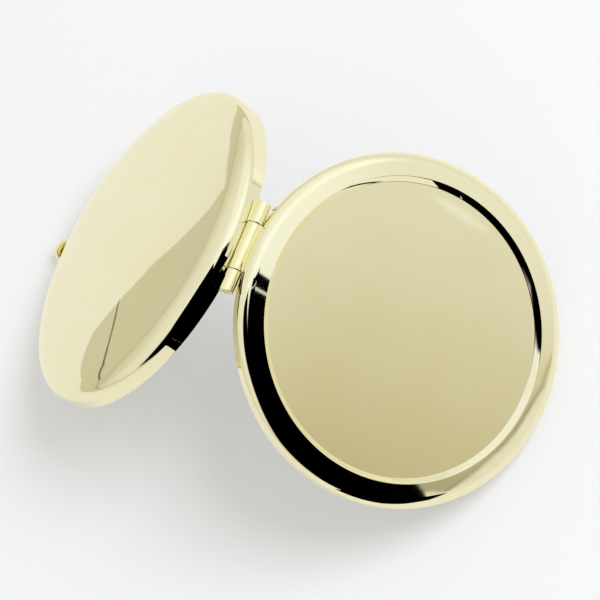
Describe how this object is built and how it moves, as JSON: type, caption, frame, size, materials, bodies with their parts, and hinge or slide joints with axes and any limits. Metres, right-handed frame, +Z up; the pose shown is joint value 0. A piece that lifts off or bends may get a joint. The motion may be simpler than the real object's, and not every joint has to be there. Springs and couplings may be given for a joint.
{
  "type": "compact mirror",
  "caption": "Round metal compact mirror, open on a knuckle hinge, with a domed base half, a lid half with a recess for a round insert, two mirrors and a push-button latch.",
  "frame": {"origin": "middle of the part's box on the surface that it stands on", "axes": "+Z up, Y along the hinge pin, base half towards -X and lid half towards +X; the open case stands like a tent"},
  "size_m": [0.1124, 0.07, 0.0504],
  "materials": {
    "plated_shell": "pale gold plating, polished to a mirror",
    "plated_trim": "pale gold plating, polished",
    "plated_hinge": "pale gold plating, polished",
    "plated_button": "gold plating, polished",
    "hinge_pin_brass": "drawn brass",
    "inner_frame": "moulded, gold coloured",
    "mirror_glass": "silvered glass",
    "foam_pad": "adhesive foam",
    "spring_steel": "blued spring steel",
    "latch_steel": "nickel plated steel"
  },
  "bodies": {
    "base": {"base_shell": "plated_shell", "base_frame": "inner_frame", "base_bezel": "plated_trim", "base_mirror": "mirror_glass", "base_mirror_pad": "foam_pad", "base_hinge_leaf": "plated_hinge", "hinge_pin": "hinge_pin_brass", "latch_spring": "spring_steel"},
    "lid": {"lid_shell": "plated_shell", "lid_frame": "inner_frame", "lid_bezel": "plated_trim", "lid_mirror": "mirror_glass", "lid_mirror_pad": "foam_pad", "lid_hinge_leaf": "plated_hinge", "latch_hook": "latch_steel", "hook_rivets": "hinge_pin_brass"},
    "button": {"button_cap": "plated_button", "latch_slider": "latch_steel"}
  },
  "joints": [
    {"name": "lid_hinge", "type": "hinge", "parent": "base", "child": "lid", "pos_m": [0.00242, 0, 0.0481], "axis": [0, -1, 0], "range_deg": [-96, 84]},
    {"name": "button_press", "type": "slide", "parent": "base", "child": "button", "axis": [0.7537, 0, 0.6572], "range_m": [0, 0.001], "stiffness_N_per_m": 800, "springref_m": -0.002, "deforming": ["latch_spring"]}
  ]
}
